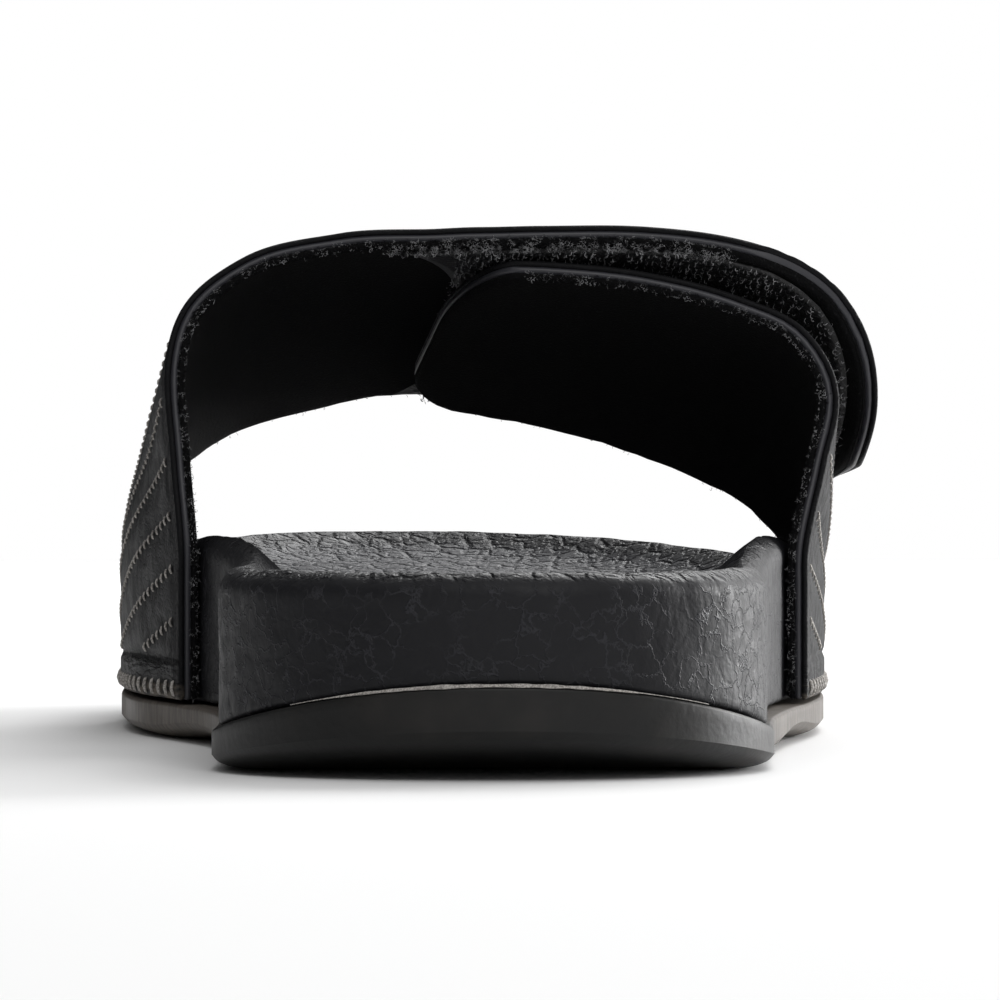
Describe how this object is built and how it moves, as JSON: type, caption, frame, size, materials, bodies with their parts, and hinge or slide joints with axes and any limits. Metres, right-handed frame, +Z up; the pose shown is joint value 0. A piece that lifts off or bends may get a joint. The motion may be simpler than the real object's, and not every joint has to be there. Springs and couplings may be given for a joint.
{
  "type": "sport slide sandal",
  "caption": "Adjustable slide sandal for the right foot: dished foam footbed on a rubber outsole, with crossing straps held by a hook patch over the instep.",
  "frame": {"origin": "bottom centre of the sandal's box, on the floor", "axes": "+Z up, +Y from heel to toe, +X towards the outer side of the right foot"},
  "size_m": [0.1138, 0.286, 0.0769],
  "materials": {
    "outsole_rubber": "smooth moulded black rubber with a satin sheen",
    "footbed_foam": "moulded charcoal foam with a creased leather grain",
    "strap_leather": "black coated leather, stitched in diagonal channels, with a fine cloth lining",
    "hook_tape": "black hook tape with small glossy hooks"
  },
  "bodies": {
    "root": {"outsole": "outsole_rubber", "footbed": "footbed_foam", "strap_top": "strap_leather", "strap_under": "strap_leather", "hook_patch": "hook_tape"}
  },
  "joints": []
}
